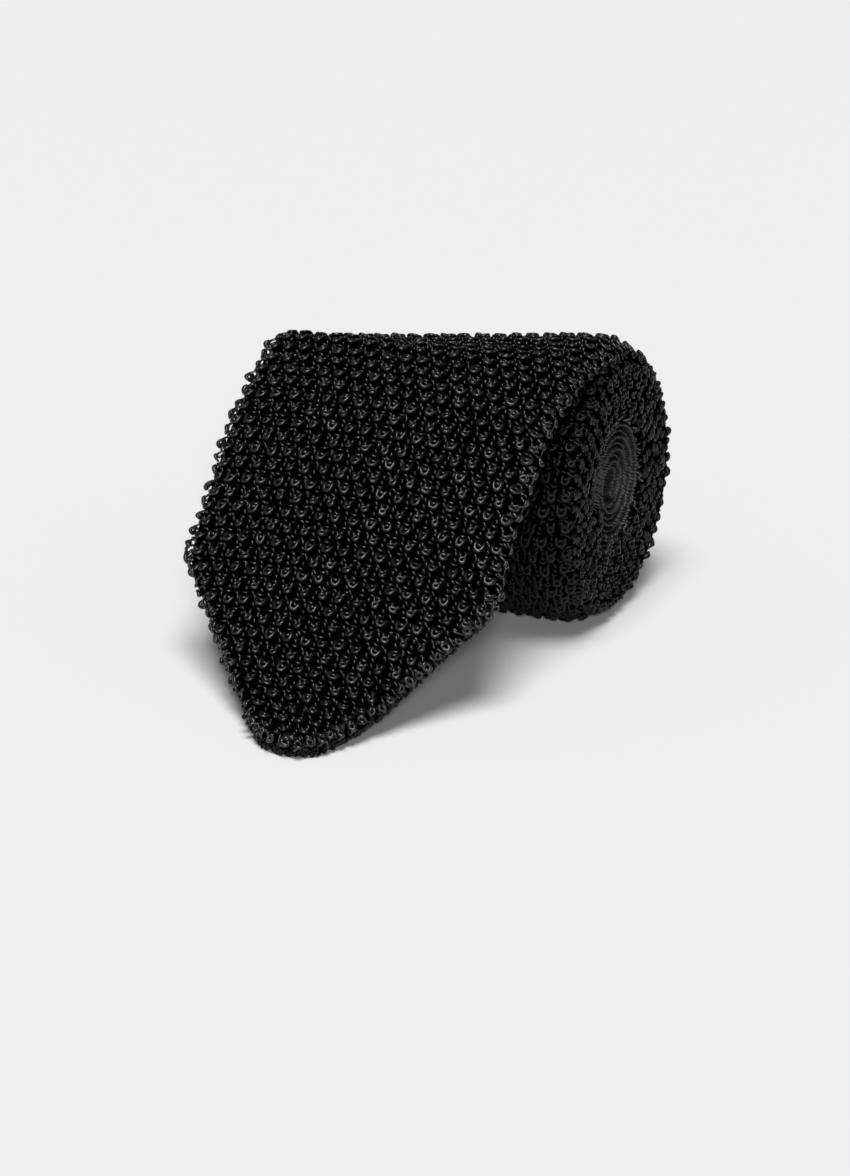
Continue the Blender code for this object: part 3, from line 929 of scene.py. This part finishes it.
def make_hem(name, surface, half_width, length, thickness, offset, seed):
    """A padded band round a pointed end, its rim and underside closely covered with small loops."""
    rng = np.random.default_rng(seed)
    total = outline_length(half_width)
    steps = int(total / HEM_STEP)
    distance = np.linspace(0, total, steps)[:, None]
    turn = 2 * pi * np.arange(HEM_SIDES) / HEM_SIDES
    inset, lift = hem_profile(turn, thickness)
    inset, lift = hem_faded(distance, total, inset[None], lift[None])
    run, across = outline(distance, inset, half_width, length)
    ring = surface(across, run - offset, lift + rng.normal(0, HEM_ROUGHNESS, lift.shape))
    count = len(turn)
    quads = np.concatenate([ring_quads(steps, count)[:, ::-1], end_caps(steps, count)])
    # The padded band is drawn in the near-black knit, as painted shade between the hem's loops
    band = new_object(name, rest_on_floor(ring.reshape(-1, 3)), quads, GAP_SHADE_KNIT)

    parts = []
    for lane, at in enumerate(HEM_LANES):
        start = (0.5 + (lane % 2) / 2) * HEM_LOOP_PITCH
        along = np.arange(start, total - 0.5 * MM, HEM_LOOP_PITCH)
        vertices, faces = lay([hem_loop()], np.zeros(len(along), int), along,
                              np.zeros(len(along)), rng, 0.0, wobble=HEM_WOBBLE)
        inset, lift = hem_profile(at, thickness)
        height = vertices[:, 2] - HEM_LOOP_SINK
        inset = inset - cos(at) * height - sin(at) * vertices[:, 1]
        lift = lift + sin(at) * height - cos(at) * vertices[:, 1]
        parts.append((np.stack([vertices[:, 0], inset, lift], axis=-1), faces))
    vertices, faces = join(parts)
    inset, lift = hem_faded(vertices[:, 0], total, vertices[:, 1], vertices[:, 2])
    run, across = outline(vertices[:, 0], inset, half_width, length)
    points = surface(across, run - offset, lift)
    loops = new_object(name + "_yarn", rest_on_floor(points), faces, HEM_YARN_AND_END_SHADE)
    return band, loops


def make_outline_bobbles():
    """The bobbles that stand out over the rim of the blade's pointed end."""
    rng = np.random.default_rng(53)
    total = outline_length(HALF_WIDTH)
    along = np.arange(-0.4 * MM, total + 0.6 * MM, 0.4 * ROW_PITCH)
    which = np.arange(len(along)) % 2
    small = [(RIM_SIZE * shape, quads) for shape, quads in (edge_bobble(), edge_tie())]
    vertices, faces = lay(small, which, np.zeros(len(along)), along, rng, 0.0, wobble=RIM_WOBBLE)
    through = vertices[:, 0]
    out = vertices[:, 2] - RIM_SINK
    inset = -out * cos(RIM_TILT) + through * sin(RIM_TILT)
    lift = CLOTH_THICKNESS / 2 - RIM_DROP + out * sin(RIM_TILT) + through * cos(RIM_TILT)
    run, across = outline(vertices[:, 1], inset, HALF_WIDTH, FLAP_LENGTH)
    points = blade_point(across, run, lift)
    return new_object("tip_outline_yarn", rest_on_floor(points), faces[:, ::-1], YARN)


# ---------------------------------------------------------------- the neckband

def neckband_path():
    """Angle, radius and facing along the folded strip: in to the fold, round it and out again."""
    offset = (NECKBAND_THICKNESS + GAP) / 2
    end = SEAM_ANGLE - NECKBAND_STOP / neck_radius(SEAM_ANGLE)
    length = (neck_radius(end) ** 2 - FOLD_RADIUS ** 2) * pi / NECK_PITCH
    count = int(length / (NECKBAND_RIB / 5))
    along = np.linspace(0.0, length, count)
    growth = NECK_PITCH / (2 * pi)
    angles = FOLD_ANGLE + (np.sqrt(FOLD_RADIUS ** 2 + 2 * growth * along) - FOLD_RADIUS) / growth
    radii = neck_radius(angles)
    turns = pi * np.arange(1, 8) / 8
    fold_angles = FOLD_ANGLE - offset * np.sin(turns) / FOLD_RADIUS
    path = [(angles[::-1], radii[::-1] - offset, -np.ones(count)),
            (fold_angles, FOLD_RADIUS - offset * np.cos(turns), -np.cos(turns)),
            (angles, radii + offset, np.ones(count))]
    return [np.concatenate([part[i] for part in path]) for i in range(3)]


def make_neckband():
    """The folded neckband: fine ribs across it, which show as teeth along its edges."""
    angle, radius, facing = neckband_path()
    x = radius * np.cos(angle)
    z = radius * np.sin(angle)
    length = np.concatenate([[0.0], np.cumsum(np.hypot(np.diff(x), np.diff(z)))])
    ridge = np.abs(np.cos(pi * length / NECKBAND_RIB))

    around = 2 * pi * (np.arange(RIB_SIDES) + 0.5) / RIB_SIDES
    flat = rounded(np.cos(around), RIB_FLATNESS)
    thick = rounded(np.sin(around), RIB_FULLNESS)
    edge = np.abs(flat) ** 8
    teeth = RIB_TEETH * (ridge[:, None] - 0.6) * edge[None] * np.sign(flat)[None]
    core_share = (radius - HOLE_RADIUS) / (neck_radius(SEAM_ANGLE) - HOLE_RADIUS)
    depth = CORE_FUNNEL * (1 - core_share) + CORE_LAYER_STEP * (facing < 0)
    uneven = np.random.default_rng(70).normal(0, NECKBAND_UNEVEN, len(ridge))
    uneven = np.convolve(uneven, np.ones(5) / 5, "same")
    middle = HALF_WIDTH - NECKBAND_RECESS - NECKBAND_WIDTH / 2
    u = middle + NECKBAND_WIDTH / 2 * flat[None] + teeth
    u = u - (depth[:, None] - NECKBAND_REACH + uneven[:, None]) * smooth(flat)[None]

    body = NECKBAND_THICKNESS / 2 * (0.64 + 0.44 * ridge)
    lift = body[:, None] * thick[None]
    forward = np.stack([np.gradient(x), np.gradient(z)], axis=1)
    forward /= np.linalg.norm(forward, axis=1)[:, None]
    normal = np.stack([forward[:, 1], -forward[:, 0]], axis=1)
    px = x[:, None] + normal[:, :1] * lift
    pz = z[:, None] + normal[:, 1:] * lift
    points = tapered(u, px, AXIS_HEIGHT + pz)
    quads = np.concatenate([ring_quads(*u.shape), end_caps(*u.shape)])
    made = new_object("neckband_rib", points.reshape(-1, 3), quads, RIB)
    return made, length[-1]


# ---------------------------------------------------------------- the keeper and the seams

def keeper_radius(angle):
    """Middle of the free space under the blade's last turn, past the tail's end."""
    below = round_blade_radius(angle - 2 * pi) + CLOTH_THICKNESS / 2
    above = round_blade_radius(angle) - CLOTH_THICKNESS / 2
    return (below + above) / 2


def keeper_point(across, run, lift):
    """A point of the keeper; run is counted along the blade from the keeper's middle."""
    middle = END_ANGLE - KEEPER_BACK_ANGLE
    angle = middle + run / keeper_radius(middle)
    return roll_point(across, angle, keeper_radius(angle) + lift)


def keeper_relief(u, v):
    """Half the keeper's thickness: fine ribs along its width."""
    return KEEPER_THICKNESS / 2 * (0.70 + 0.28 * np.abs(np.cos(pi * v / NECKBAND_RIB)))


def seam_point(side):
    """The surface that a joining seam lies on: the blade's on side 1 and the tail's on side -1."""
    radius = neck_radius(SEAM_ANGLE) + side * (NECKBAND_THICKNESS + GAP) / 2
    if side > 0:
        radius += (CLOTH_THICKNESS - NECKBAND_THICKNESS) / 2

    def point(across, run, lift):
        return roll_point(across, SEAM_ANGLE + run / radius, radius + lift)

    return point


def thread_loop(across, along, height):
    """One stitch of sewing thread that goes round both cloths."""
    turn = 2 * pi * np.arange(RING_STEPS) / RING_STEPS
    path = np.stack([across * np.cos(turn), along * np.cos(turn), height * np.sin(turn)], axis=1)
    return tube(path, THREAD_RADIUS, SIDES, True)


def sewn_row(name, surface, stitch, u, v, seed):
    """Stitches of thread, one at each place u, v."""
    rng = np.random.default_rng(seed)
    which = np.zeros(len(u), int)
    vertices, quads = lay([stitch], which, u, v, rng, 0.0, wobble=SEWING_WOBBLE)
    points = surface(vertices[:, 0], vertices[:, 1], vertices[:, 2])
    return new_object(name, points, quads, THREAD)


def make_keeper():
    """The ribbed band on the blade's back, and the row of stitches at each of its ends."""
    runs = np.linspace(-KEEPER_LENGTH / 2, KEEPER_LENGTH / 2, 86)
    wide = np.full(len(runs), KEEPER_WIDTH / 2)
    band = cloth("keeper_band", keeper_point, runs, wide, 41, RIB, keeper_relief)
    stitch = thread_loop(TACK_WIDTH / 2 - THREAD_RADIUS, 0.25 * MM,
                         KEEPER_THICKNESS / 2 - THREAD_RADIUS)
    v = np.arange(-KEEPER_LENGTH / 2 + 0.5 * MM, KEEPER_LENGTH / 2, 0.8 * MM)
    tacks = []
    for label, side in (("left", -1), ("right", 1)):
        u = np.full(len(v), side * (KEEPER_WIDTH / 2 + GAP + TACK_WIDTH / 2))
        tacks.append(sewn_row(f"keeper_{label}_stitches", keeper_point, stitch, u, v, 60 + side))
    return band, tacks


def make_seams():
    """The two rows of stitches that join the neckband to the blade and to the tail."""
    stitch = thread_loop(0.2 * MM, SEAM_LENGTH / 2 - THREAD_RADIUS,
                         NECKBAND_THICKNESS / 2 - THREAD_RADIUS)
    right = HALF_WIDTH - NECKBAND_RECESS
    u = np.arange(right - NECKBAND_WIDTH + 0.6 * MM, right - 0.4 * MM, 0.9 * MM)
    v = np.zeros(len(u))
    return [sewn_row(f"{label}_seam_stitches", seam_point(side), stitch, u, v, 64 + side)
            for label, side in (("blade", 1), ("tail", -1))]


# ---------------------------------------------------------------- the stage

def make_floor():
    """The plain pale surface the tie stands on."""
    data = bpy.data.meshes.new("floor")
    half = FLOOR_SIZE / 2
    corners = [(-half, -half, 0), (half, -half, 0), (half, half, 0), (-half, half, 0)]
    data.from_pydata(corners, [], [(0, 1, 2, 3)])
    data.materials.append(plain_material("pale_floor", (FLOOR_COLOUR,) * 3, 0.9))
    floor = bpy.data.objects.new("floor", data)
    bpy.context.scene.collection.objects.link(floor)


def direction(azimuth, elevation):
    """Unit vector towards azimuth, turned from -Y to +X, and elevation."""
    return Vector((sin(azimuth) * cos(elevation), -cos(azimuth) * cos(elevation), sin(elevation)))


def add_sun(name, azimuth, elevation, angle, strength):
    """A far, soft light."""
    data = bpy.data.lights.new(name, "SUN")
    data.angle = radians(angle)
    data.energy = strength
    light = bpy.data.objects.new(name, data)
    towards = direction(radians(azimuth), radians(elevation))
    light.rotation_euler = towards.to_track_quat("Z", "Y").to_euler()
    bpy.context.scene.collection.objects.link(light)


def make_lights():
    world = bpy.data.worlds.new("studio")
    world.use_nodes = True
    background = world.node_tree.nodes["Background"]
    background.inputs["Color"].default_value = (1, 1, 1, 1)
    background.inputs["Strength"].default_value = WORLD_STRENGTH
    bpy.context.scene.world = world
    for name, azimuth, elevation, angle, strength in SUNS:
        add_sun(name, azimuth, elevation, angle, strength)
    bpy.context.scene.view_settings.view_transform = "Standard"


def make_camera():
    back = direction(CAMERA_AZIMUTH, CAMERA_ELEVATION)
    right = Vector((cos(CAMERA_AZIMUTH), sin(CAMERA_AZIMUTH), 0))
    up = back.cross(right)
    data = bpy.data.cameras.new("camera")
    data.lens = FOCAL
    data.sensor_width = SENSOR_WIDTH
    data.clip_end = 20
    camera = bpy.data.objects.new("camera", data)
    camera.location = CAMERA_TARGET + back * CAMERA_DISTANCE
    aim = CAMERA_TARGET - right * CAMERA_RIGHT - up * CAMERA_UP
    camera.rotation_euler = (camera.location - aim).to_track_quat("Z", "Y").to_euler()
    bpy.context.scene.collection.objects.link(camera)
    bpy.context.scene.camera = camera


# ---------------------------------------------------------------- the tie


def main():
    wound, flap, tail = make_ground()
    rolled, on_tail, loose = make_stitches()
    hem, hem_yarn = make_hem("blade_hem", blade_point, HALF_WIDTH, FLAP_LENGTH,
                             HEM_THICKNESS, 0.0, 50)
    tail_hem, tail_hem_yarn = make_hem("tail_hem", tail_point, TAIL_WIDTH / 2, TIP_LENGTH,
                                       CLOTH_THICKNESS, TIP_LENGTH, 51)
    loose += [make_outline_bobbles(), hem, hem_yarn]
    on_tail += [tail_hem, tail_hem_yarn]
    neckband, neckband_length = make_neckband()
    keeper, tacks = make_keeper()
    seams = make_seams()

    for piece in [wound, tail, neckband, keeper, *tacks, *seams, *rolled, *on_tail]:
        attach(piece, "roll")
    hinge = blade_point(np.array([0.0]), np.array([0.0]), np.array([0.0]))[0]
    for piece in [flap, *loose]:
        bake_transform(piece)

    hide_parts("blade_wound_turns")
    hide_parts("blade_front_flap")
    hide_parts("blade_tip_hem")
    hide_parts("tail")
    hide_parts("tail_tip_hem")
    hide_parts("neckband")
    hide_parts("keeper_loop")
    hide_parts("keeper_tack_left")
    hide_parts("keeper_tack_right")
    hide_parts("blade_to_neckband_seam")
    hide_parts("tail_to_neckband_seam")

    make_floor()
    make_lights()
    make_camera()


main()
